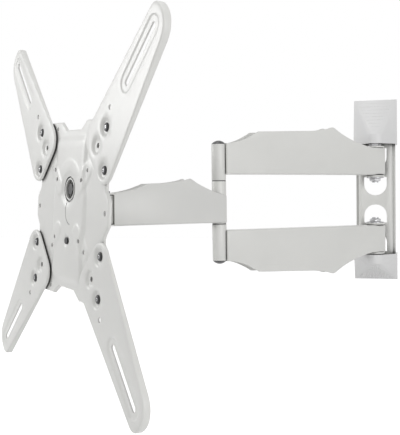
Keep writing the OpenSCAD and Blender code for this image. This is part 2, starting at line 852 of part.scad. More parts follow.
module adapter_rim_band() {
    // A rim folded back from the sheet, deeper towards the tip
    band = inset_outline(adapter_outline(), adapter_t);
    difference() {
        translate([0, 0, adapter_back - adapter_rim]) linear_extrude(adapter_rim + eps)
            polygon(rounded(adapter_outline()));
        translate([0, 0, adapter_back - adapter_rim - 1]) linear_extrude(adapter_rim + 2)
            polygon(rounded(band));
        rotate([0, 0, 45]) translate([adapter_rim_s0, 0, adapter_back])
            rotate([0, atan(adapter_rim / (adapter_rim_s1 - adapter_rim_s0)), 0])
                translate([-200, -200, -60]) cube([600, 400, 60]);
    }
}

module dish_body() {
    cylinder(h = adapter_front - eps, r1 = dish_r + adapter_t + 0.5, r2 = dish_lip_r + adapter_t);
}

module dish_cut() {
    translate([0, 0, adapter_t]) cylinder(h = dish_drop + eps, r1 = dish_r, r2 = dish_lip_r);
    translate([0, 0, -1]) cylinder(h = 10, d = fix_d);
}

module slot_outline(r) {
    racetrack([slot_inner / 2, slot_inner / 2], [slot_outer / 2, slot_outer / 2], r);
}

module adapter() {
    seats = concat(fix_points, [adapter_spare]);
    difference() {
        union() {
            translate([0, 0, adapter_back]) linear_extrude(adapter_t) polygon(rounded(adapter_outline()));
            adapter_rim_band();
            for (p = seats) translate([p[0], p[1], 0]) dish_body();
            translate([0, 0, adapter_back - slot_pad_drop]) linear_extrude(adapter_t)
                slot_outline(slot_pad_r + adapter_t);
        }
        for (p = seats) translate([p[0], p[1], 0]) dish_cut();
        translate([0, 0, adapter_front - slot_pad_drop]) linear_extrude(2) slot_outline(slot_pad_r);
        translate([0, 0, -1]) linear_extrude(adapter_front + 2) slot_outline(slot_w / 2);
        translate([adapter_light[0], adapter_light[1], -1]) cylinder(h = adapter_front + 2, d = fix_d);
    }
}

module adapter_upper_right() {
    color(white_paint) plate_frame() adapter();
}

module adapter_upper_left() {
    color(white_paint) plate_frame() mirror([1, 0, 0]) adapter();
}

module adapter_lower_right() {
    color(white_paint) plate_frame() mirror([0, 1, 0]) adapter();
}

module adapter_lower_left() {
    color(white_paint) plate_frame() mirror([1, 0, 0]) mirror([0, 1, 0]) adapter();
}

screw_r = 3;
screw_head_r = 5.4;

module adapter_screws() {
    color(steel) plate_frame() four_ways() for (p = fix_points) translate([p[0], p[1], 0]) {
        translate([0, 0, adapter_t]) difference() {
            union() {
                cylinder(h = 1.2, r = screw_head_r);
                translate([0, 0, 1.2]) cylinder(h = 1.3, r1 = screw_head_r - 0.2, r2 = screw_head_r - 2);
            }
            translate([0, 0, 0.9]) hex_prism(4, 3);
        }
        translate([0, 0, -plate_t - 6]) cylinder(h = plate_t + 6 + adapter_t + eps, r = screw_r);
    }
}

module adapter_nuts() {
    color(steel) plate_frame() four_ways() for (p = fix_points)
        translate([p[0], p[1], -plate_t - 5]) difference() {
            hex_prism(10, 5);
            translate([0, 0, -1]) cylinder(h = 7, r = screw_r + run_fit);
        }
}

wall_bracket();
cover_top();
cover_bottom();
pivot_bolt_upper();
pivot_bolt_lower();
pivot_nuts();
pivot_washers();
arm_upper();
arm_lower();
pivot_sleeves();
elbow_tube_upper();
elbow_tube_lower();
elbow_shaft();
elbow_nut();
elbow_cap_upper();
elbow_cap_lower();
forearm();
elbow_tube_middle();
elbow_bushes();
swivel_pin();
swivel_tube();
swivel_bushes();
swivel_bracket();
tilt_bracket();
tilt_bolt();
tilt_nut();
tilt_washers();
level_disc();
hub_cup();
hub_bolt();
hub_nut();
level_screw();
level_nut();
screen_plate();
adapter_upper_right();
adapter_upper_left();
adapter_lower_right();
adapter_lower_left();
adapter_screws();
adapter_nuts();
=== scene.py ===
"""Looks of a white full-motion wall mount for a flat screen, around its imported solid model."""

import json
import logging
import math
from dataclasses import dataclass, field, replace
from enum import Enum
from typing import Callable, Sequence

import bmesh
import bpy
from mathutils import Matrix, Vector
from mathutils.geometry import delaunay_2d_cdt
from mathutils.kdtree import KDTree

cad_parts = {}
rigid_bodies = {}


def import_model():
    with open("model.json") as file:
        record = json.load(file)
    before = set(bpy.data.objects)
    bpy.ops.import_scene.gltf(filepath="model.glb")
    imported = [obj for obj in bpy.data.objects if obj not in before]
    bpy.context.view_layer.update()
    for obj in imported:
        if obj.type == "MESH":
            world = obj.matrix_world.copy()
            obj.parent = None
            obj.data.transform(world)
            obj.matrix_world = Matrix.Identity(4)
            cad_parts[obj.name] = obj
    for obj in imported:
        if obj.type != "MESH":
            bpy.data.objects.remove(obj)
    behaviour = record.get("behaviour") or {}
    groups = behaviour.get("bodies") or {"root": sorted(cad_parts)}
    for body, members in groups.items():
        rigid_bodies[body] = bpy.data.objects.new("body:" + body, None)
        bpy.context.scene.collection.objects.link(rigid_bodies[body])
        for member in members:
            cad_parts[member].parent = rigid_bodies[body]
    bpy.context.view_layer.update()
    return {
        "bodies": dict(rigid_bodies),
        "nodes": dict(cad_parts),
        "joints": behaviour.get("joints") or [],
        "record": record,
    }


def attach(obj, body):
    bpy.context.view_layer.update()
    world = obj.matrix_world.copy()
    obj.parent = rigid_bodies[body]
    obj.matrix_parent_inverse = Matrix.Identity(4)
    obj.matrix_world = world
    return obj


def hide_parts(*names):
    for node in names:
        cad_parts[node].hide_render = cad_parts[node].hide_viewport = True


LOG = logging.getLogger("wall_mount")
MM = 0.001
WHITE = (1.0, 1.0, 1.0, 1.0)
Point = tuple[float, float, float]


class Body(Enum):
    """Bodies that carry new pieces, as the record names them."""

    WALL = "wall_mount"
    PLATE = "screen_plate"


class Slot(Enum):
    """Material slots of the record."""

    PAINT = "white_paint"
    COVER = "cover_plastic"
    ZINC = "zinc_steel"
    BLACK = "black_steel"
    CAP = "cap_plastic"
    BUSH = "bush_plastic"


class NodeGraph:
    """Short hand for the node tree of one material or geometry group."""

    def __init__(self, tree: bpy.types.NodeTree) -> None:
        """Keeps the tree.

        Args:
            tree: The node tree that nodes are added to.
        """
        self.tree = tree

    def add(self, kind: str, **values: object) -> bpy.types.Node:
        """Adds a node and sets its properties or the defaults of its inputs.

        Args:
            kind: Blender's name of the node type.
            **values: Properties by name; names of inputs have spaces as underscores.

        Returns:
            The new node.
        """
        node = self.tree.nodes.new(kind)
        for name, value in values.items():
            if hasattr(node, name):
                setattr(node, name, value)
            else:
                node.inputs[name.replace("_", " ")].default_value = value
        return node

    def link(self, start: bpy.types.NodeSocket, end: bpy.types.NodeSocket) -> None:
        """Joins an output to an input."""
        self.tree.links.new(start, end)


@dataclass(frozen=True)
class Surface:
    """A material's nodes, its shader and the coordinates of its patterns."""

    graph: NodeGraph
    shader: bpy.types.Node
    place: bpy.types.NodeSocket

    def noise(self, scale: float, detail: float, roughness: float) -> bpy.types.NodeSocket:
        """Adds a noise pattern.

        Args:
            scale: Cells in a metre.
            detail: Octaves of finer noise.
            roughness: Weight of the finer octaves.

        Returns:
            The pattern's value.
        """
        node = self.graph.add("ShaderNodeTexNoise", Scale=scale, Detail=detail, Roughness=roughness)
        self.graph.link(self.place, node.inputs["Vector"])
        return node.outputs["Fac"]


@dataclass(frozen=True)
class Finish:
    """A surface finish: a colour, its gloss, and fine relief from noise on object coordinates."""

    name: str
    color: tuple[float, float, float]
    roughness: float
    metallic: float = 0.0
    grain_per_m: float = 900.0
    grain_mm: float = 0.02
    mottle: float = 0.03
    gloss_change: float = 0.06
    coat: float = 0.0
    coat_roughness: float = 0.2
    edge_radius_mm: float = 0.5
    # Painted shade: the next three set how far ambient occlusion looks, how it maps to a mask, and how dark
    # the colour gets in narrow gaps; a distance of 0 paints none.
    painted_shade_mm: float = 0.0
    painted_shade_span: tuple[float, float] = (0.3, 0.75)
    painted_shade_share: float = 0.1

    def material(self) -> bpy.types.Material:
        """Builds the procedural material.

        Returns:
            The finished material.
        """
        mat = bpy.data.materials.new(self.name)
        mat.use_nodes = True
        graph = NodeGraph(mat.node_tree)
        coords = graph.add("ShaderNodeTexCoord")
        on = Surface(graph, mat.node_tree.nodes["Principled BSDF"], coords.outputs["Object"])
        on.shader.inputs["Metallic"].default_value = self.metallic
        on.shader.inputs["Coat Weight"].default_value = self.coat
        on.shader.inputs["Coat Roughness"].default_value = self.coat_roughness
        self._colour(on)
        self._gloss(on)
        self._relief(on)
        return mat

    def _colour(self, on: Surface) -> None:
        """Colour with a slow mottle of the coating's thickness, and painted shade: the colour darkens in
        narrow gaps where asked.
        """
        ramp = on.graph.add("ShaderNodeValToRGB")
        ends = zip(ramp.color_ramp.elements, (0.3, 0.7), (1.0 - self.mottle, 1.0 + 0.4 * self.mottle))
        for element, place, share in ends:
            element.position = place
            element.color = (*[min(1.0, c * share) for c in self.color], 1.0)
        on.graph.link(on.noise(14.0, 4.0, 0.55), ramp.inputs["Fac"])
        if self.painted_shade_mm == 0:
            on.graph.link(ramp.outputs["Color"], on.shader.inputs["Base Color"])
            return
        # Painted shade: ambient occlusion mixes the colour towards a dark copy of it in narrow gaps.
        painted_shade_ao = on.graph.add("ShaderNodeAmbientOcclusion", samples=6, Distance=self.painted_shade_mm * MM)
        painted_shade_mask = on.graph.add("ShaderNodeMapRange")
        painted_shade_mask.inputs["From Min"].default_value, painted_shade_mask.inputs["From Max"].default_value = self.painted_shade_span
        blend = on.graph.add("ShaderNodeMix", data_type="RGBA")
        factor, dark, light = blend.inputs[0], blend.inputs[6], blend.inputs[7]
        dark.default_value = (*[self.painted_shade_share * c for c in self.color], 1.0)
        on.graph.link(painted_shade_ao.outputs["AO"], painted_shade_mask.inputs["Value"])
        on.graph.link(painted_shade_mask.outputs["Result"], factor)
        on.graph.link(ramp.outputs["Color"], light)
        on.graph.link(blend.outputs[2], on.shader.inputs["Base Color"])

    def _gloss(self, on: Surface) -> None:
        """Roughness that wanders a little, from handling and the coat's flow."""
        spread = on.graph.add("ShaderNodeMapRange")
        spread.inputs["To Min"].default_value = max(0.03, self.roughness - self.gloss_change)
        spread.inputs["To Max"].default_value = min(1.0, self.roughness + self.gloss_change)
        on.graph.link(on.noise(55.0, 5.0, 0.6), spread.inputs["Value"])
        on.graph.link(spread.outputs["Result"], on.shader.inputs["Roughness"])

    def _relief(self, on: Surface) -> None:
        """Fine grain as bump, on edges that the coating rounds."""
        bump = on.graph.add("ShaderNodeBump", Strength=0.5, Distance=self.grain_mm * MM)
        edge = on.graph.add("ShaderNodeBevel", samples=4, Radius=self.edge_radius_mm * MM)
        on.graph.link(on.noise(self.grain_per_m, 3.0, 0.5), bump.inputs["Height"])
        on.graph.link(edge.outputs["Normal"], bump.inputs["Normal"])
        on.graph.link(bump.outputs["Normal"], on.shader.inputs["Normal"])


FINISHES: dict[Slot, Finish] = {
    # Painted shade: the paint's colour darkens in narrow gaps by ambient occlusion.
    Slot.PAINT: Finish(
        "white_powder_coat", (0.80, 0.80, 0.775), 0.36, coat=0.15, coat_roughness=0.18, painted_shade_mm=22.0
    ),
    Slot.COVER: Finish("white_moulded_cover", (0.82, 0.82, 0.82), 0.45, grain_per_m=2200.0, grain_mm=0.03),
    # Painted shade: the zinc's colour darkens in the nuts' and screws' recesses by ambient occlusion.
    Slot.ZINC: Finish(
        "bright_zinc", (0.5, 0.5, 0.51), 0.28, metallic=1.0, grain_per_m=1400.0, mottle=0.12,
        edge_radius_mm=0.3, painted_shade_mm=7.0,
    ),
    Slot.BLACK: Finish(
        "black_oxide", (0.035, 0.035, 0.037), 0.35, metallic=0.4, grain_per_m=1600.0, mottle=0.2,
        edge_radius_mm=0.3,
    ),
    Slot.CAP: Finish("dark_gloss_cap", (0.03, 0.03, 0.033), 0.16, coat=0.4, coat_roughness=0.06, mottle=0.1),
    Slot.BUSH: Finish("dark_nylon", (0.06, 0.06, 0.062), 0.5, mottle=0.15),
}
# The head's narrow gaps stay light, so these pieces get no painted shade in gaps, and a slightly darker base
# colour than the rest of the paint
OPEN_PAINT = replace(
    FINISHES[Slot.PAINT], name="white_powder_coat_open", color=(0.76, 0.76, 0.74), painted_shade_mm=0.0
)
OPEN_NODES = ("forearm", "swivel_tube", "swivel_bracket")


@dataclass
class Studio:
    """White room, soft lights and the camera of the photograph."""

    camera_at: Point = (30.6, -1277.2, 8.8)
    right: Point = (0.9681, 0.2503, -0.0115)
    down: Point = (-0.0041, -0.0300, -0.9995)
    ahead: Point = (-0.2505, 0.9677, -0.0280)
    focal_px: float = 754.17
    frame_px: tuple[int, int] = (400, 435)
    sensor_mm: float = 36.0
    world_light: float = 0.34
    floor_z: float = -0.42
    floor_size: float = 12.0
    floor_grey: float = 0.8
    floor_glow: float = 0.8
    aim: Point = (-0.2, -0.25, 0.0)
    lamps: list[tuple[str, Point, float, float]] = field(
        default_factory=lambda: [
            ("top_softbox", (-0.5, -0.6, 1.9), 1.4, 9.5),
            ("front_softbox", (-0.2, -2.6, 0.7), 1.2, 5.0),
            ("right_softbox", (1.6, -2.0, 0.5), 1.2, 18.0),
            ("left_strip", (-2.3, -0.2, 0.6), 0.7, 10.6),
        ]
    )

    def build(self) -> None:
        """Makes the camera, the world, the lamps and the floor."""
        self._camera()
        self._world()
        for name, place, size, power in self.lamps:
            self._lamp(name, place, size, power)
        self._floor()
        bpy.context.scene.view_settings.view_transform = "Standard"

    def _camera(self) -> None:
        """Camera with the place, turn and focal length fitted to the photograph."""
        data = bpy.data.cameras.new("photo_camera")
        data.sensor_width = self.sensor_mm
        data.sensor_fit = "AUTO"
        data.lens = self.focal_px * self.sensor_mm / max(self.frame_px)
        data.clip_start = 0.05
        cam = bpy.data.objects.new("photo_camera", data)
        ahead = Vector(self.ahead).normalized()
        right = Vector(self.right)
        right = (right - ahead * right.dot(ahead)).normalized()
        up = right.cross(ahead).normalized()
        turn = Matrix((right, up, -ahead)).transposed().to_4x4()
        cam.matrix_world = Matrix.Translation(Vector(self.camera_at) * MM) @ turn
        bpy.context.collection.objects.link(cam)
        bpy.context.scene.camera = cam

    def _world(self) -> None:
        """White to the camera and in reflections, plain grey as a light."""
        world = bpy.data.worlds.new("white_room")
        world.use_nodes = True
        bpy.context.scene.world = world
        graph = NodeGraph(world.node_tree)
        light = world.node_tree.nodes["Background"]
        light.inputs["Color"].default_value = WHITE
        light.inputs["Strength"].default_value = self.world_light
        seen = graph.add("ShaderNodeBackground", Color=WHITE, Strength=1.0)
        end = world.node_tree.nodes["World Output"].inputs["Surface"]
        self._by_view(graph, light.outputs["Background"], seen.outputs["Background"], end)

    @staticmethod
    def _by_view(
        graph: NodeGraph, plain: bpy.types.NodeSocket, seen: bpy.types.NodeSocket, end: bpy.types.NodeSocket
    ) -> None:
        """Gives one shader to the camera, reflections and glass, and another to all other light.

        Args:
            graph: The nodes that are added to.
            plain: The shader for other light.
            seen: The shader that is seen.
            end: The input that takes the two.
        """
        rays = graph.add("ShaderNodeLightPath").outputs
        some = graph.add("ShaderNodeMath", operation="MAXIMUM")
        every = graph.add("ShaderNodeMath", operation="MAXIMUM")
        mix = graph.add("ShaderNodeMixShader")
        graph.link(rays["Is Camera Ray"], some.inputs[0])
        graph.link(rays["Is Glossy Ray"], some.inputs[1])
        graph.link(some.outputs["Value"], every.inputs[0])
        graph.link(rays["Is Transmission Ray"], every.inputs[1])
        graph.link(every.outputs["Value"], mix.inputs["Fac"])
        graph.link(plain, mix.inputs[1])
        graph.link(seen, mix.inputs[2])
        graph.link(mix.outputs["Shader"], end)

    def _lamp(self, name: str, place: Point, size: float, power: float) -> None:
        """A square area lamp that faces the mount.

        Args:
            name: The lamp's name.
            place: Its place, in metres.
            size: Its side, in metres.
            power: Its power, in watts.
        """
        data = bpy.data.lights.new(name, "AREA")
        data.size = size
        data.energy = power
        lamp = bpy.data.objects.new(name, data)
        aim = Vector(self.aim) - Vector(place)
        lamp.matrix_world = Matrix.Translation(place) @ aim.to_track_quat("-Z", "Y").to_matrix().to_4x4()
        bpy.context.collection.objects.link(lamp)

    def _floor(self) -> None:
        """Pale floor below the mount, white to the camera where it is lit."""
        half = self.floor_size / 2
        mesh = bpy.data.meshes.new("studio_floor")
        corners = [(x * half, y * half, self.floor_z) for x, y in ((-1, -1), (1, -1), (1, 1), (-1, 1))]
        mesh.from_pydata(corners, [], [(0, 1, 2, 3)])
        floor = bpy.data.objects.new("studio_floor", mesh)
        bpy.context.collection.objects.link(floor)
        mat = bpy.data.materials.new("floor_white")
        mat.use_nodes = True
        graph = NodeGraph(mat.node_tree)
        shader = mat.node_tree.nodes["Principled BSDF"]
        shader.inputs["Base Color"].default_value = (*[self.floor_grey] * 3, 1.0)
        shader.inputs["Roughness"].default_value = 0.9
        glow = graph.add("ShaderNodeEmission", Color=WHITE, Strength=self.floor_glow)
        both = graph.add("ShaderNodeAddShader")
        graph.link(shader.outputs["BSDF"], both.inputs[0])
        graph.link(glow.outputs["Emission"], both.inputs[1])
        end = mat.node_tree.nodes["Material Output"].inputs["Surface"]
        self._by_view(graph, shader.outputs["BSDF"], both.outputs["Shader"], end)
        floor.data.materials.append(mat)


Flat = tuple[float, float]
Corner = tuple[float, float, float]
Height = Callable[[float, float], float]


def smooth(value: float, start: float, end: float) -> float:
    """Smooth step from 0 at start to 1 at end."""
    t = min(1.0, max(0.0, (value - start) / (end - start)))
    return t * t * (3.0 - 2.0 * t)


def fade(value: float, edge: Flat) -> float:
    """Smooth step from 1 at the edge's start to 0 at its end."""
    return 1.0 - smooth(value, *edge)


def rounded(corners: Sequence[Corner], steps: int = 8) -> list[Flat]:
    """Rounds the corners of an outline.

    Args:
        corners: Corners as (x, y, radius) in millimetres, anticlockwise.
        steps: Edges in each corner's arc.

    Returns:
        The points of the outline.
    """
    points: list[Flat] = []
    count = len(corners)
    for i, (x, y, radius) in enumerate(corners):
        here = Vector((x, y))
        back = (Vector(corners[i - 1][:2]) - here).normalized()
        on = (Vector(corners[(i + 1) % count][:2]) - here).normalized()
        half = math.acos(max(-1.0, min(1.0, back.dot(on)))) / 2
        centre = here + (back + on).normalized() * (radius / math.sin(half))
        first = here + back * (radius / math.tan(half)) - centre
        last = here + on * (radius / math.tan(half)) - centre
        turn = math.atan2(first.x * last.y - first.y * last.x, first.dot(last))
        start = math.atan2(first.y, first.x)
        for k in range(steps + 1):
            angle = start + turn * k / steps
            points.append((centre.x + radius * math.cos(angle), centre.y + radius * math.sin(angle)))
    return points


def spaced(points: Sequence[Flat], step: float) -> list[Flat]:
    """Splits the long edges of a closed outline.

    Args:
        points: The outline.
        step: Longest edge, in millimetres.

    Returns:
        The outline with edges no longer than step.
    """
    out: list[Flat] = []
    for a, b in zip(points, [*points[1:], points[0]]):
        parts = max(1, math.ceil(math.dist(a, b) / step))
        out += [(a[0] + (b[0] - a[0]) * k / parts, a[1] + (b[1] - a[1]) * k / parts) for k in range(parts)]
    return out


def moved_in(points: Sequence[Flat], depth: float) -> list[Flat]:
    """Moves each point of an anticlockwise outline inwards along its normal.

    Args:
        points: The outline.
        depth: The distance, in millimetres.

    Returns:
        The smaller outline, point for point.
    """
    out: list[Flat] = []
    for i, here in enumerate(points):
        ahead = Vector(points[(i + 1) % len(points)]) - Vector(here)
        behind = Vector(here) - Vector(points[i - 1])
        along = (ahead.normalized() + behind.normalized()).normalized()
        out.append((here[0] - along.y * depth, here[1] + along.x * depth))
    return out


def circle(centre: Flat, radius: float, count: int = 32) -> list[Flat]:
    """Points of a circle, anticlockwise."""
    turns = [math.tau * k / count for k in range(count)]
    return [(centre[0] + radius * math.cos(t), centre[1] + radius * math.sin(t)) for t in turns]


def stadium(start: Flat, end: Flat, radius: float, count: int = 12) -> list[Flat]:
    """Points around a slot, anticlockwise.

    Args:
        start: Centre of one round end.
        end: Centre of the other round end.
        radius: Half the slot's width.
        count: Edges in each round end.

    Returns:
        The outline of the slot.
    """
    heading = math.atan2(end[1] - start[1], end[0] - start[0])
    out: list[Flat] = []
    for centre, first in ((end, heading - math.pi / 2), (start, heading + math.pi / 2)):
        for k in range(count + 1):
            turn = first + math.pi * k / count
            out.append((centre[0] + radius * math.cos(turn), centre[1] + radius * math.sin(turn)))
    return out


def to_segment(x: float, y: float, start: Flat, end: Flat) -> float:
    """Distance of a point from a straight segment."""
    run = Vector(end) - Vector(start)
    off = Vector((x, y)) - Vector(start)
    share = max(0.0, min(1.0, off.dot(run) / run.length_squared))
    return (off - run * share).length


def inside_by(x: float, y: float, outline: Sequence[Flat]) -> float:
    """Distance of a point from an outline, positive inside it.

    Args:
        x: The point's first coordinate.
        y: The point's second coordinate.
        outline: The closed outline.

    Returns:
        The signed distance in millimetres.
    """
    inside = False
    nearest = math.inf
    for a, b in zip(outline, [*outline[1:], outline[0]]):
        nearest = min(nearest, to_segment(x, y, a, b))
        if (a[1] > y) != (b[1] > y) and x < (b[0] - a[0]) * (y - a[1]) / (b[1] - a[1]) + a[0]:
            inside = not inside
    return nearest if inside else -nearest


def tree_of(points: Sequence[Flat]) -> KDTree:
    """Search tree of flat points, by their index."""
    tree = KDTree(len(points))
    for i, (x, y) in enumerate(points):
        tree.insert((x, y, 0.0), i)
    tree.balance()
    return tree


@dataclass
class PressedSheet:
    """A pressed sheet with a rounded, folded rim, holes and embossed forms, in plate coordinates."""

    name: str
    outline: list[Flat]
    holes: list[list[Flat]]
    rings: list[list[Flat]]
    height: Height
    rim_end: Height
    thickness: float
    bend: float = 2.6
    grid: float = 6.0
    bend_steps: int = 6

    def mesh(self, place: Matrix) -> bpy.types.Object:
        """Builds the sheet.

        Args:
            place: Turns plate millimetres into metres of the row's frame.

        Returns:
            The sheet as an object at the origin.
        """
        edge = moved_in(self.outline, self.bend)
        count = len(edge)
        points, faces = self._front(edge)
        verts = [Vector((x, y, self.height(x, y))) for x, y in points]
        ring = self._match(edge, points)
        for k in range(1, self.bend_steps + 1):
            turn = math.pi / 2 * k / self.bend_steps
            row = moved_in(self.outline, self.bend * (1 - math.sin(turn)))
            drop = self.bend * (1 - math.cos(turn))
            verts += [Vector((x, y, self.height(*edge[i]) - drop)) for i, (x, y) in enumerate(row)]
            ring = self._skirt(faces, ring, len(verts) - count)
        low = [min(self.rim_end(x, y), verts[ring[i]].z - 0.2) for i, (x, y) in enumerate(self.outline)]
        verts += [Vector((x, y, low[i])) for i, (x, y) in enumerate(self.outline)]
        self._skirt(faces, ring, len(verts) - count)
        return self._object(verts, faces, place)

    def _front(self, edge: list[Flat]) -> tuple[list[Flat], list[list[int]]]:
        """Triangulates the front between its edge and its holes.

        Args:
            edge: The outline where the rim's bend begins.

        Returns:
            The points, and the triangles as indices, facing forwards.
        """
        loops = [edge, *[list(reversed(h)) for h in self.holes]]
        points: list[Flat] = []
        lines: list[tuple[int, int]] = []
        for loop in loops:
            first = len(points)
            points += loop
            lines += [(first + k, first + (k + 1) % len(loop)) for k in range(len(loop))]
        free = [p for ring in self.rings for p in ring] + self._grid(edge)
        kept = {(round(x, 1), round(y, 1)) for x, y in points}
        for x, y in free:
            key = (round(x, 1), round(y, 1))
            if key not in kept and inside_by(x, y, edge) > 0.5 and not self._in_hole(x, y, 0.4):
                kept.add(key)
                points.append((x, y))
        verts, _, faces, _, _, _ = delaunay_2d_cdt([Vector(p) for p in points], lines, [], 2, 1e-5)
        out = []
        for face in faces:
            middle = sum((verts[i] for i in face), Vector((0.0, 0.0))) / len(face)
            if self._in_hole(middle.x, middle.y, 0.0):
                continue
            a, b, c = (verts[i] for i in face[:3])
            turned = (b - a).cross(c - a) < 0
            out.append(list(reversed(face)) if turned else list(face))
        return [(v.x, v.y) for v in verts], out

    def _in_hole(self, x: float, y: float, margin: float) -> bool:
        """Whether a point lies in a hole or within a margin of one."""
        for hole in self.holes:
            low, high = min(p[0] for p in hole) - margin, max(p[0] for p in hole) + margin
            if low <= x <= high and inside_by(x, y, hole) > -margin:
                return True
        return False

    def _grid(self, edge: list[Flat]) -> list[Flat]:
        """Points of a triangular grid over the sheet, away from its rings."""
        xs, ys = [p[0] for p in edge], [p[1] for p in edge]
        tree = tree_of([p for ring in [edge, *self.rings, *self.holes] for p in ring])
        out: list[Flat] = []
        row_step = self.grid * math.sqrt(3) / 2
        for j in range(int((max(ys) - min(ys)) / row_step) + 1):
            y = min(ys) + j * row_step
            for i in range(int((max(xs) - min(xs)) / self.grid) + 1):
                x = min(xs) + (i + 0.5 * (j % 2)) * self.grid
                if tree.find((x, y, 0.0))[2] > 0.6 * self.grid:
                    out.append((x, y))
        return out

    @staticmethod
    def _match(edge: list[Flat], points: list[Flat]) -> list[int]:
        """Index in points of each point of the edge."""
        tree = tree_of(points)
        return [tree.find((x, y, 0.0))[1] for x, y in edge]

    @staticmethod
    def _skirt(faces: list[list[int]], ring: list[int], first: int) -> list[int]:
        """Joins a ring to the next row of points.

        Args:
            faces: The faces so far, added to.
            ring: Indices of the ring above.
            first: Index of the first point of the row below.

        Returns:
            The indices of the row below.
        """
        count = len(ring)
        below = list(range(first, first + count))
        for i in range(count):
            j = (i + 1) % count
            faces.append([ring[i], below[i], below[j], ring[j]])
        return below

    def _object(self, verts: list[Vector], faces: list[list[int]], place: Matrix) -> bpy.types.Object:
        """Turns points and faces into a solid, smooth sheet.

        Args:
            verts: Points in plate millimetres.
            faces: Faces as indices.
            place: Turns plate millimetres into metres of the row's frame.

        Returns:
            The object, its wall given by a Solidify modifier that is applied.
        """
        mesh = bpy.data.meshes.new(self.name)
        mesh.from_pydata([place @ v for v in verts], [], faces)
        if place.determinant() < 0:
            mesh.flip_normals()
        mesh.polygons.foreach_set("use_smooth", [True] * len(mesh.polygons))
        obj = bpy.data.objects.new(self.name, mesh)
        bpy.context.collection.objects.link(obj)
        wall = obj.modifiers.new("wall", "SOLIDIFY")
        wall.thickness = self.thickness * MM
        wall.offset = -1.0
        wall.use_even_offset = True
        return applied(obj)


def applied(obj: bpy.types.Object, sharp_deg: float = 40.0) -> bpy.types.Object:
    """Turns an object's modifiers into plain mesh, smooth up to an angle.

    Args:
        obj: The object.
        sharp_deg: Edges that bend more than this stay sharp.

    Returns:
        The same object with its final mesh.
    """
    graph = bpy.context.evaluated_depsgraph_get()
    final = bpy.data.meshes.new_from_object(obj.evaluated_get(graph))
    obj.modifiers.clear()
    old = obj.data
    obj.data = final
    final.name = obj.name
    bpy.data.meshes.remove(old)
    final.polygons.foreach_set("use_smooth", [True] * len(final.polygons))
    final.set_sharp_from_angle(angle=math.radians(sharp_deg))
    return obj


@dataclass(frozen=True)
class Pose:
    """Places of the joints at rest, as the solid model has them, in millimetres and degrees."""

    pivot_y: float = -45.0
    arm_length: float = 285.0
    arm_angle: float = 47.6
    forearm_length: float = 171.4
    forearm_angle: float = 46.5
    head_angle: float = 42.3
    tilt_reach: float = 22.0
    tilt_z: float = -7.15
    tilt_angle: float = 2.9
    plate_reach: float = 28.5
    hub_v: float = 25.5
    level_angle: float = -2.5

    def elbow(self) -> Vector:
        """Elbow axis at the level of the origin."""
        turn = math.radians(self.arm_angle)
        return Vector((-self.arm_length * math.sin(turn), self.pivot_y - self.arm_length * math.cos(turn), 0))

    def head(self) -> Vector:
        """Head swivel axis at the level of the origin."""
        turn = math.radians(self.forearm_angle)
        return self.elbow() - Vector((math.sin(turn), math.cos(turn), 0)) * self.forearm_length

    def head_frame(self) -> Matrix:
        """X across the head, -Y towards the screen, in millimetres."""
        return Matrix.Translation(self.head()) @ Matrix.Rotation(math.radians(-self.head_angle), 4, "Z")

    def tilt_frame(self) -> Matrix:
        """X across, Y up the plate, Z towards the screen, on the tilt axis."""
        step = Matrix.Translation((0, -self.tilt_reach, self.tilt_z))
        return self.head_frame() @ step @ Matrix.Rotation(math.radians(90 - self.tilt_angle), 4, "X")

    def plate_frame(self) -> Matrix:
        """Origin at the plate's centre, Z = 0 on its front face."""
        hub = Matrix.Translation((0, self.hub_v, self.plate_reach))
        back = Matrix.Translation((0, -self.hub_v, 0))
        return self.tilt_frame() @ hub @ Matrix.Rotation(math.radians(self.level_angle), 4, "Z") @ back


def metres(frame: Matrix) -> Matrix:
    """Takes millimetres in a frame to metres in the row's frame."""
    return Matrix.Scale(MM, 4) @ frame


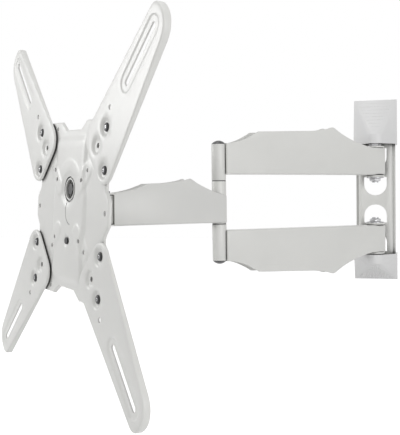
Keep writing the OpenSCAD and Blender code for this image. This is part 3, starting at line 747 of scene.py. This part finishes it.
@dataclass
class ScreenPlate:
    """Centre plate with its four adapters."""

    half_h: float = 112.0
    notch_h: float = 101.0
    half_w: float = 100.5
    ear_out: float = 11.0
    tab_out: float = 9.0
    sheet: float = 2.5
    rim: float = 4.0
    field_rise: float = 2.5
    pad_rise: float = 0.8
    arc_rise: float = 0.45
    seat_dip: float = 1.5
    adapter_sheet: float = 2.0
    adapter_front: float = 5.0
    adapter_rim: float = 7.0
    rim_run: tuple[float, float] = (90.0, 310.0)
    slot_ends: tuple[float, float] = (147.0, 201.0)
    slot_r: float = 3.9
    fix_r: float = 3.2
    screen_r: float = 2.75
    hub_hole_r: float = 16.2
    level_v: float = -40.0
    level_r: float = 2.6
    tab_hole: Flat = (50.0, 103.0)
    screen_squares: Flat = (37.5, 50.0)
    fixings: tuple[Flat, ...] = ((100.0, 50.0), (100.0, 100.0))
    spare: Flat = (79.0, 79.0)
    light_hole: Flat = (111.0, 122.0)
    pad: tuple[Flat, Flat] = ((29.0, 27.0), (51.0, 51.0))
    lug: tuple[Corner, ...] = (
        (39.2, 89.0, 22.0), (105.4, 19.5, 24.0), (234.7, 204.6, 28.0), (201.9, 229.9, 13.0),
    )
    slit: tuple[Flat, ...] = (
        (-6.5, 12.7), (-6.8, 8.0), (-7.0, 2.0), (-6.8, -4.0), (-5.6, -9.5), (-2.8, -14.0), (1.5, -17.2),
        (7.5, -19.5),
    )
    dish_drop: float = 2.9
    dish_edge: Flat = (7.4, 12.6)
    slot_drop: float = 1.1
    slot_edge: Flat = (9.8, 13.4)
    field_edge: Flat = (-7.0, 3.5)
    pad_edge: Flat = (7.0, 12.5)
    arc_edge: Flat = (35.0, 41.0)
    hub_edge: Flat = (17.0, 24.0)
    level_edge: Flat = (4.6, 9.5)
    slot_rings: tuple[float, ...] = (6.0, 9.0, 9.8, 10.8, 11.8, 12.7, 13.6)
    dish_rings: tuple[float, ...] = (5.0, 7.2, 8.2, 9.3, 10.4, 11.5, 12.8)
    hub_rings: tuple[float, ...] = (17.2, 18.7, 20.4, 22.2, 24.0, 35.0, 36.5, 38.0, 39.5, 41.0)
    level_rings: tuple[float, ...] = (4.6, 5.8, 7.0, 8.2, 9.5)
    field_rings: tuple[float, ...] = (-6.9, -5.2, -3.5, -1.8, 0.0, 1.7, 3.4)
    pad_rings: tuple[float, ...] = (7.0, 8.4, 9.8, 11.1, 12.4)

    def adapter_height(self, x: float, y: float) -> float:
        """Front of an adapter: dished screw seats and a recess round its slot."""
        seats = (*self.fixings, self.spare)
        drops = [self.dish_drop * fade(math.dist((x, y), seat), self.dish_edge) for seat in seats]
        low, high = self.slot_ends
        drops.append(self.slot_drop * fade(to_segment(x, y, (low, low), (high, high)), self.slot_edge))
        return self.adapter_front - max(drops)

    def adapter_rim_end(self, x: float, y: float) -> float:
        """Back edge of an adapter's rim, deeper towards the tip."""
        start, end = self.rim_run
        along = (x + y) / math.sqrt(2)
        share = min(1.0, max(0.0, (along - start) / (end - start)))
        return self.adapter_front - self.adapter_sheet - self.adapter_rim * share

    def adapter(self, name: str, flip: tuple[int, int]) -> bpy.types.Object:
        """Builds one adapter.

        Args:
            name: The piece's name.
            flip: Signs of its quadrant across and up the plate.

        Returns:
            The adapter.
        """
        low, high = self.slot_ends
        ends = ((low, low), (high, high))
        seats = (*self.fixings, self.spare)
        holes = [spaced(stadium(*ends, self.slot_r), 5.0), circle(self.light_hole, self.fix_r, 20)]
        holes += [circle(c, self.fix_r, 20) for c in seats]
        rings = [spaced(stadium(*ends, r), 5.0) for r in self.slot_rings]
        rings += [circle(c, r, 32) for c in seats for r in self.dish_rings]
        rings += [circle(self.light_hole, 4.6, 20)]
        shape = PressedSheet(
            name, spaced(rounded(self.lug), 5.0), holes, rings, self.adapter_height, self.adapter_rim_end,
            self.adapter_sheet,
        )
        mirror = Matrix.Diagonal((flip[0], flip[1], 1, 1))
        return shape.mesh(metres(Pose().plate_frame()) @ mirror)

    @staticmethod
    def _four(part: Sequence[Corner]) -> list[Corner]:
        """Turns the outline of the upper right quarter into the whole outline."""
        over = [(-x, y, r) for x, y, r in reversed(part)]
        return [*part, *over, *[(-x, -y, r) for x, y, r in part], *[(-x, -y, r) for x, y, r in over]]

    def outline(self) -> list[Flat]:
        """Outline of the centre plate, with its ears and tabs."""
        tab_w = self.half_w + self.tab_out
        part: list[Corner] = [
            (self.half_w + self.ear_out, 14, 8), (self.half_w, 27, 8), (self.half_w, 36, 3), (tab_w, 43, 5),
            (tab_w, self.half_h, 14), (39, self.half_h, 4), (22, self.notch_h, 5),
        ]
        return spaced(rounded(self._four(part), 6), 6.0)

    def field(self) -> list[Flat]:
        """Outline of the raised middle field."""
        return spaced(rounded(self._four([(46, 18, 12), (40, 40, 12), (44, 88, 8)]), 6), 5.0)

    def plate_height(self, x: float, y: float) -> float:
        """Front of the plate: the raised field, the screw pads, an arc over the hub and two seats."""
        rise = self.field_rise * smooth(inside_by(x, y, self.field()), *self.field_edge)
        rise += self.pad_rise * fade(to_segment(abs(x), abs(y), *self.pad), self.pad_edge)
        hub = Vector((x, y - Pose().hub_v))
        if hub.length > 0:
            rise += self.arc_rise * fade(hub.length, self.arc_edge) * smooth(hub.y / hub.length, 0.3, 0.8)
        away = math.dist((x, y), (0.0, self.level_v))
        near_seat = max(fade(hub.length, self.hub_edge), fade(away, self.level_edge))
        return rise - self.seat_dip * near_seat

    def _slit_outline(self, half: float = 0.45) -> list[Flat]:
        """Narrow slit beside the hub, as a closed outline."""
        ahead: list[Flat] = []
        back: list[Flat] = []
        for i, (x, y) in enumerate(self.slit):
            run = Vector(self.slit[min(i + 1, len(self.slit) - 1)]) - Vector(self.slit[max(i - 1, 0)])
            side = Vector((-run.y, run.x)).normalized() * half
            ahead.append((x - side.x, y - side.y))
            back.append((x + side.x, y + side.y))
        return [*ahead, *reversed(back)]

    def plate(self) -> bpy.types.Object:
        """Builds the centre plate.

        Returns:
            The pressed plate.
        """
        signs = [(sx, sy) for sx in (-1, 1) for sy in (-1, 1)]
        screens = [(sx * d, sy * d) for sx, sy in signs for d in self.screen_squares]
        hidden = [(sx * x, sy * y) for sx, sy in signs for x, y in (*self.fixings, self.spare)]
        ears = [(side * (self.half_w + 1), 0.0) for side in (-1, 1)]
        tabs = [(sx * self.tab_hole[0], sy * self.tab_hole[1]) for sx, sy in signs]
        hub = (0.0, Pose().hub_v)
        holes = [circle(hub, self.hub_hole_r, 56), circle((0.0, self.level_v), self.level_r, 20)]
        holes.append(self._slit_outline())
        holes += [circle(c, self.screen_r, 20) for c in [*screens, *tabs]]
        holes += [circle(c, self.fix_r, 20) for c in [*hidden, *ears]]
        rings = [circle(hub, r, 64) for r in self.hub_rings]
        rings += [circle((0.0, self.level_v), r, 32) for r in self.level_rings]
        rings += [circle(c, 4.2, 20) for c in screens]
        rings += [moved_in(self.field(), d) for d in self.field_rings]
        low, high = self.pad
        for sx, sy in signs:
            for r in self.pad_rings:
                rings.append([(sx * x, sy * y) for x, y in spaced(stadium(low, high, r), 4.0)])
        shape = PressedSheet(
            "pressed_screen_plate", self.outline(), holes, rings, self.plate_height, lambda x, y: -self.rim,
            self.sheet,
        )
        return shape.mesh(metres(Pose().plate_frame()))

    def build(self) -> dict[str, bpy.types.Object]:
        """Builds the sheets that replace the plain solids.

        Returns:
            The pieces by the name of the node that each replaces.
        """
        made: dict[str, bpy.types.Object] = {}
        for tall, up in (("upper", 1), ("lower", -1)):
            for side, right in (("right", 1), ("left", -1)):
                made[f"adapter_{tall}_{side}"] = self.adapter(f"pressed_adapter_{tall}_{side}", (right, up))
        made["screen_plate"] = self.plate()
        return made


def wire_mesh(name: str, lines: Sequence[Sequence[Point]]) -> bpy.types.Mesh:
    """Mesh of open lines, or of lone points where a line has one point."""
    points = [p for line in lines for p in line]
    edges: list[tuple[int, int]] = []
    first = 0
    for line in lines:
        edges += [(first + k, first + k + 1) for k in range(len(line) - 1)]
        first += len(line)
    mesh = bpy.data.meshes.new(name)
    mesh.from_pydata(points, edges, [])
    return mesh


class GrowTree:
    """Geometry Nodes tree for what repeats, whose result is realized and given its material."""

    def __init__(self, name: str, sockets: dict[str, str]) -> None:
        """Starts the tree.

        Args:
            name: The tree's name.
            sockets: Types of its named inputs, between the geometry and the finish.
        """
        self.tree = bpy.data.node_groups.new(name, "GeometryNodeTree")
        kinds = {"Geometry": "NodeSocketGeometry", **sockets, "Finish": "NodeSocketMaterial"}
        for label, kind in kinds.items():
            self.tree.interface.new_socket(name=label, in_out="INPUT", socket_type=kind)
        self.tree.interface.new_socket(name="Geometry", in_out="OUTPUT", socket_type="NodeSocketGeometry")
        self.graph = NodeGraph(self.tree)
        self.given = self.graph.add("NodeGroupInput")

    def take(self, name: str, end: bpy.types.NodeSocket) -> None:
        """Links one of the tree's inputs."""
        self.graph.link(self.given.outputs[name], end)

    def finish(self, made: bpy.types.NodeSocket) -> bpy.types.NodeTree:
        """Ends the tree.

        Args:
            made: The geometry that comes out.

        Returns:
            The tree.
        """
        real = self.graph.add("GeometryNodeRealizeInstances")
        paint = self.graph.add("GeometryNodeSetMaterial")
        out = self.graph.add("NodeGroupOutput")
        self.graph.link(made, real.inputs["Geometry"])
        self.graph.link(real.outputs["Geometry"], paint.inputs["Geometry"])
        self.take("Finish", paint.inputs["Material"])
        self.graph.link(paint.outputs["Geometry"], out.inputs["Geometry"])
        return self.tree


def rib_tree() -> bpy.types.NodeTree:
    """Tree that lays a moulded rib along every line of a wire mesh."""
    tree = GrowTree("moulded_ribs", {"Rib Radius": "NodeSocketFloat"})
    path = tree.graph.add("GeometryNodeMeshToCurve")
    profile = tree.graph.add("GeometryNodeCurvePrimitiveCircle", Resolution=8)
    sweep = tree.graph.add("GeometryNodeCurveToMesh", Fill_Caps=True)
    tree.take("Geometry", path.inputs["Mesh"])
    tree.take("Rib Radius", profile.inputs["Radius"])
    tree.graph.link(path.outputs["Curve"], sweep.inputs["Curve"])
    tree.graph.link(profile.outputs["Curve"], sweep.inputs["Profile Curve"])
    return tree.finish(sweep.outputs["Mesh"])


def repeat_tree() -> bpy.types.NodeTree:
    """Tree that puts a copy of one pattern piece on every point, each turned at random."""
    kinds = {"Pattern": "NodeSocketObject", "Most Turn": "NodeSocketFloat", "Seed": "NodeSocketInt"}
    tree = GrowTree("repeated_hardware", kinds)
    pattern = tree.graph.add("GeometryNodeObjectInfo")
    place = tree.graph.add("GeometryNodeInstanceOnPoints")
    turn = tree.graph.add("FunctionNodeRandomValue", data_type="FLOAT")
    spin = tree.graph.add("ShaderNodeCombineXYZ")
    turned = tree.graph.add("GeometryNodeRotateInstances")
    highest, picked = turn.inputs[3], turn.outputs[1]
    tree.take("Pattern", pattern.inputs["Object"])
    tree.take("Geometry", place.inputs["Points"])
    tree.graph.link(pattern.outputs["Geometry"], place.inputs["Instance"])
    tree.take("Most Turn", highest)
    tree.take("Seed", turn.inputs["Seed"])
    tree.graph.link(picked, spin.inputs["Z"])
    tree.graph.link(place.outputs["Instances"], turned.inputs["Instances"])
    tree.graph.link(spin.outputs["Vector"], turned.inputs["Rotation"])
    return tree.finish(turned.outputs["Instances"])


def grown(
    name: str, lines: Sequence[Sequence[Point]], tree: bpy.types.NodeTree, values: dict[str, object],
    place: Matrix,
) -> bpy.types.Object:
    """Runs a tree and keeps its result as a plain mesh.

    Args:
        name: The piece's name.
        lines: Lines or lone points that the tree starts from, in millimetres.
        tree: The tree.
        values: Its inputs by name.
        place: Takes the millimetres to metres of the row's frame.

    Returns:
        The piece, with its place in its mesh.
    """
    obj = bpy.data.objects.new(name, wire_mesh(name, lines))
    bpy.context.collection.objects.link(obj)
    grower = obj.modifiers.new(tree.name, "NODES")
    grower.node_group = tree
    for item in tree.interface.items_tree:
        if item.in_out == "INPUT" and item.name in values:
            grower[item.identifier] = values[item.name]
    obj.update_tag()
    applied(obj)
    obj.data.transform(place)
    return obj


@dataclass(frozen=True)
class Turned:
    """A turned piece: rows of (height, radius), of which cut_rows are cut to a hexagon."""

    name: str
    rows: tuple[Flat, ...]
    steps: int = 32
    across: float = math.inf
    cut_rows: range = range(0)

    def mesh(self) -> bpy.types.Mesh:
        """Builds the piece around +Z, in millimetres, closed at both ends."""
        count = self.steps
        verts: list[Point] = []
        for row, (height, radius) in enumerate(self.rows):
            for turn in (math.tau * k / count for k in range(count)):
                off = (turn + math.pi / 6) % (math.pi / 3) - math.pi / 6
                flat = self.across / 2 / math.cos(off) if row in self.cut_rows else radius
                reach = min(radius, flat)
                verts.append((reach * math.cos(turn), reach * math.sin(turn), height))
        faces: list[list[int]] = []
        for first in range(0, (len(self.rows) - 1) * count, count):
            for k in range(count):
                a, b = first + k, first + (k + 1) % count
                faces.append([a, b, b + count, a + count])
        last = (len(self.rows) - 1) * count
        faces += [list(reversed(range(count))), list(range(last, last + count))]
        mesh = bpy.data.meshes.new(self.name)
        mesh.from_pydata(verts, [], faces)
        return mesh


def merged(name: str, meshes: Sequence[bpy.types.Mesh]) -> bpy.types.Object:
    """Joins meshes into one object at the origin, its faces outwards.

    Args:
        name: The object's name.
        meshes: The meshes, which are used up.

    Returns:
        The object, not yet in the scene.
    """
    form = bmesh.new()
    for mesh in meshes:
        form.from_mesh(mesh)
        bpy.data.meshes.remove(mesh)
    bmesh.ops.recalc_face_normals(form, faces=form.faces)
    whole = bpy.data.meshes.new(name)
    form.to_mesh(whole)
    form.free()
    return bpy.data.objects.new(name, whole)


PIVOT_NUT = Turned(
    "domed_flange_nuts",
    (
        (0.0, 5.2), (0.0, 13.1), (0.3, 13.5), (1.1, 13.5), (1.5, 13.0), (2.3, 10.2), (2.5, 9.9), (4.9, 9.9),
        (5.5, 9.0), (6.3, 8.0), (6.9, 6.6), (7.1, 5.5), (6.9, 5.1), (6.0, 5.05),
    ),
    72, 17.0, range(6, 9),
)
SCREW_DOME = Turned("dome", ((0.6, 1.0), (0.6, 2.2), (2.1, 2.2), (2.35, 2.1), (2.5, 1.7), (2.45, 1.2)))
SCREW_SHANK = Turned("shank", ((-10.5, 1.0), (-10.5, 2.5), (-10.0, 3.0), (0.7, 3.0)), 24)
SCREW_FLANGE = Turned(
    "flange",
    (
        (0.0, 2.3), (0.0, 5.1), (0.3, 5.4), (0.9, 5.3), (1.5, 4.8), (2.0, 4.0), (2.2, 3.0), (2.0, 2.5),
        (1.5, 2.3),
    ),
)
# A thin black hexagon on each dome: painted shade where a hex socket's hollow would be.
SCREW_SOCKET_SHADE = Turned("socket", ((2.4, 0.6), (2.4, 1.3), (2.56, 1.3), (2.56, 0.6)), 24, 2.0, range(1, 3))


@dataclass
class Hardware:
    """Nuts and screws that show their turned forms."""

    lug_z: float = 36.4
    screw_seat: float = 2.0
    most_turn: float = 6.0
    seed: int = 7

    def nuts(self) -> bpy.types.Object:
        """Flange nuts under the upper wall pivot and over the lower one."""
        down = Matrix.Translation((0, Pose.pivot_y, self.lug_z)) @ Matrix.Rotation(math.pi, 4, "X")
        up = Matrix.Translation((0, Pose.pivot_y, -self.lug_z))
        meshes = [PIVOT_NUT.mesh(), PIVOT_NUT.mesh()]
        for mesh, place in zip(meshes, (down, up)):
            mesh.transform(metres(place))
        obj = merged(PIVOT_NUT.name, meshes)
        bpy.context.collection.objects.link(obj)
        return applied(obj)

    def screws(self, name: str, parts: Sequence[Turned], finish: bpy.types.Material) -> bpy.types.Object:
        """Turned parts of the eight screws that hold the adapters.

        Args:
            name: Name of the result.
            parts: Turned forms that make the pattern piece.
            finish: Its material.

        Returns:
            The eight copies as one piece.
        """
        sample = merged(f"{name}_pattern", [part.mesh() for part in parts])
        signs = [(sx, sy) for sx in (-1, 1) for sy in (-1, 1)]
        places = [(sx * x, sy * y, self.screw_seat) for x, y in ScreenPlate.fixings for sx, sy in signs]
        values = {"Pattern": sample, "Finish": finish, "Most Turn": self.most_turn, "Seed": self.seed}
        made = grown(name, [[p] for p in places], repeat_tree(), values, metres(Pose().plate_frame()))
        bpy.data.objects.remove(sample)
        return made


@dataclass(frozen=True)
class CoverShell:
    """Moulded cover over one end of the wall bracket, hollow towards the wall and the arms."""

    name: str
    edge: float
    nose: float
    end: float
    side: int
    half_w: float = 34.0
    box_h: float = 6.0
    box_y: float = -31.0
    shelf_y: float = -8.0
    nose_r: float = 16.5
    wall: float = 2.0
    soft: float = 0.9

    def _cloud(self) -> list[Point]:
        """Points whose convex hull is the cover's outside, for a cover that points up."""
        out: list[Point] = []
        for x in (-self.half_w, self.half_w):
            for z in (self.edge, self.edge + self.box_h):
                out += [(x, 0.0, z), (x, self.box_y, z)]
            out += [(x, 0.0, self.end), (x, self.shelf_y, self.end)]
        for z in (self.edge, self.nose):
            out += [(x, y, z) for x, y in circle((0.0, Pose.pivot_y), self.nose_r, 96)]
        return out

    def shell(self) -> bpy.types.Object:
        """Builds the cover with softened edges and its wall.

        Returns:
            The shell at the origin.
        """
        form = bmesh.new()
        for point in self._cloud():
            form.verts.new(point)
        hull = bmesh.ops.convex_hull(form, input=form.verts)
        bmesh.ops.delete(form, geom=list(set(hull["geom_interior"] + hull["geom_unused"])), context="VERTS")
        bmesh.ops.dissolve_limit(form, angle_limit=math.radians(1.0), verts=form.verts, edges=form.edges)
        ridges = [e for e in form.edges if e.calc_face_angle(0.0) > math.radians(9.0)]
        ridges = [e for e in ridges if not self._open_edge(e)]
        bmesh.ops.bevel(
            form, geom=ridges, offset=self.soft, segments=3, profile=0.5, affect="EDGES", clamp_overlap=True
        )
        opened = [f for f in form.faces if f.normal.z < -0.99 or f.normal.y > 0.99]
        bmesh.ops.delete(form, geom=opened, context="FACES")
        mesh = bpy.data.meshes.new(self.name)
        form.to_mesh(mesh)
        form.free()
        mesh.transform(metres(Matrix.Diagonal((1, 1, self.side, 1))))
        if self.side < 0:
            mesh.flip_normals()
        obj = bpy.data.objects.new(self.name, mesh)
        bpy.context.collection.objects.link(obj)
        thick = obj.modifiers.new("wall", "SOLIDIFY")
        thick.thickness = self.wall * MM
        thick.offset = -1.0
        return applied(obj, 28.0)

    def _open_edge(self, edge: bmesh.types.BMEdge) -> bool:
        """Whether an edge bounds an open side."""
        return all(v.co.z < self.edge + 0.01 for v in edge.verts) or all(v.co.y > -0.01 for v in edge.verts)

    def slope(self, x: float, share: float) -> Point:
        """Point on the front slope, from the nose at 0 to the shelf at 1."""
        arc = self.nose_r * (1 - share)
        over = max(0.0, abs(x) - self.half_w * share)
        middle = Pose.pivot_y * (1 - share) + self.shelf_y * share
        bulge = math.sqrt(max(0.0, arc * arc - over * over))
        return x, middle - bulge, self.nose * (1 - share) + self.end * share

    def ribs_across(self, count: int, reach: float = 0.86) -> list[list[Point]]:
        """Level ribs on the front slope, each as wide as the slope is there."""
        lines: list[list[Point]] = []
        for k in range(1, count + 1):
            share = k / (count + 1)
            wide = (self.half_w * share + 2.0) * reach
            lines.append([self.slope(wide * (j / 6 - 1), share) for j in range(13)])
        return lines

    def ribs_along(self, pitch: float) -> list[list[Point]]:
        """Upright ribs down the front slope."""
        lines: list[list[Point]] = []
        count = int((self.half_w - 4.0) / pitch)
        for k in range(-count, count + 1):
            x = k * pitch
            start = max(0.12, (abs(x) + 2.0) / self.half_w)
            if start < 0.9:
                lines.append([self.slope(x, start + (0.95 - start) * j / 8) for j in range(9)])
        return lines


@dataclass
class WallCovers:
    """The two covers with their moulded ribs."""

    top: CoverShell = CoverShell("top_cover_shell", 89.0, 104.0, 162.5, 1)
    bottom: CoverShell = CoverShell("bottom_cover_shell", 86.5, 101.0, 130.0, -1)
    across_r: float = 0.35
    across_count: int = 9
    along_r: float = 0.8
    along_pitch: float = 3.1

    def ribs(self, finish: bpy.types.Material) -> list[bpy.types.Object]:
        """Builds the ribs of both covers.

        Args:
            finish: Their material.

        Returns:
            One piece for each cover.
        """
        tree = rib_tree()
        level, upright = self.top.ribs_across(self.across_count), self.bottom.ribs_along(self.along_pitch)
        painted_shade_mask, thick = ({"Rib Radius": r, "Finish": finish} for r in (self.across_r, self.along_r))
        down = metres(Matrix.Diagonal((1, 1, -1, 1)))
        made = [
            grown("top_cover_ribs", level, tree, painted_shade_mask, metres(Matrix())),
            grown("bottom_cover_ribs", upright, tree, thick, down),
        ]
        made[1].data.flip_normals()
        return made


def softened(node: bpy.types.Object, name: str, radius_mm: float) -> bpy.types.Object:
    """Copies a solid with its sharp edges rounded, as a coat of paint rounds them.

    Args:
        node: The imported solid.
        name: Name of the copy.
        radius_mm: Width of the rounding.

    Returns:
        The copy at the origin.
    """
    form = bmesh.new()
    form.from_mesh(node.data)
    bmesh.ops.remove_doubles(form, verts=form.verts, dist=1e-6)
    bmesh.ops.dissolve_limit(form, angle_limit=math.radians(0.5), verts=form.verts, edges=form.edges)
    mesh = bpy.data.meshes.new(name)
    form.to_mesh(mesh)
    form.free()
    obj = bpy.data.objects.new(name, mesh)
    bpy.context.collection.objects.link(obj)
    round_off = obj.modifiers.new("paint_edge", "BEVEL")
    round_off.width = radius_mm * MM
    round_off.segments = 2
    round_off.limit_method = "ANGLE"
    round_off.angle_limit = math.radians(35)
    return applied(obj, 35.0)


SOFT_EDGES: dict[str, float] = {
    "wall_bracket": 0.6, "arm_upper": 0.5, "arm_lower": 0.5, "forearm": 0.5, "elbow_tube_upper": 0.5,
    "elbow_tube_lower": 0.5, "elbow_tube_middle": 0.5, "swivel_tube": 0.4, "swivel_bracket": 0.5,
    "tilt_bracket": 0.5, "hub_cup": 0.35,
}


class Dresser:
    """Gives each piece its body and the material of its slot."""

    def __init__(self, frame: dict, materials: dict[Slot, bpy.types.Material]) -> None:
        """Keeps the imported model's tables.

        Args:
            materials: The finished materials.
        """
        self.nodes = frame["nodes"]
        self.materials = materials
        self.slots = {part["node"]: Slot(part["material_slot"]) for part in frame["record"]["subparts"]}
        bodies = frame["record"]["behaviour"]["bodies"]
        self.homes = {node: body for body, nodes in bodies.items() for node in nodes}

    def dress(self, piece: bpy.types.Object, slot: Slot, body: str) -> None:
        """Gives a new piece the material of its slot, and its body."""
        if not piece.data.materials:
            piece.data.materials.append(self.materials[slot])
        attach(piece, body)
        LOG.info("%s rides on %s: %d faces", piece.name, body, len(piece.data.polygons))

    def replace(self, piece: bpy.types.Object, node: str) -> None:
        """Puts a piece in the place of a solid."""
        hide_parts(node)
        self.dress(piece, self.slots[node], self.homes[node])

    def paint_solids(self) -> None:
        """Gives every solid its material."""
        for name, node in self.nodes.items():
            node.data.materials.clear()
            node.data.materials.append(self.materials[self.slots[name]])


def main() -> None:
    """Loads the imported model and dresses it."""
    logging.basicConfig(level=logging.INFO, format="%(name)s: %(message)s")
    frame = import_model()
    Studio().build()
    materials = {slot: finish.material() for slot, finish in FINISHES.items()}
    dresser = Dresser(frame, materials)
    dresser.paint_solids()
    for name, piece in ScreenPlate().build().items():
        dresser.replace(piece, name)
    covers = WallCovers()
    dresser.replace(covers.top.shell(), "cover_top")
    dresser.replace(covers.bottom.shell(), "cover_bottom")
    for piece in covers.ribs(materials[Slot.COVER]):
        dresser.dress(piece, Slot.COVER, Body.WALL.value)
    hardware = Hardware()
    dresser.replace(hardware.nuts(), "pivot_nuts")
    domes = hardware.screws("screw_domes", [SCREW_DOME, SCREW_SHANK], materials[Slot.ZINC])
    dresser.replace(domes, "adapter_screws")
    # Black flanges, with the black hexagons on the domes as painted shade of the sockets.
    flanges_and_socket_shade = hardware.screws("screw_flanges", [SCREW_FLANGE, SCREW_SOCKET_SHADE], materials[Slot.BLACK])
    dresser.dress(flanges_and_socket_shade, Slot.BLACK, Body.PLATE.value)
    open_paint = OPEN_PAINT.material()
    for name, radius in SOFT_EDGES.items():
        piece = softened(frame["nodes"][name], f"painted_{name}", radius)
        if name in OPEN_NODES:
            piece.data.materials.clear()
            piece.data.materials.append(open_paint)
        dresser.replace(piece, name)


if __name__ == "__main__":
    main()
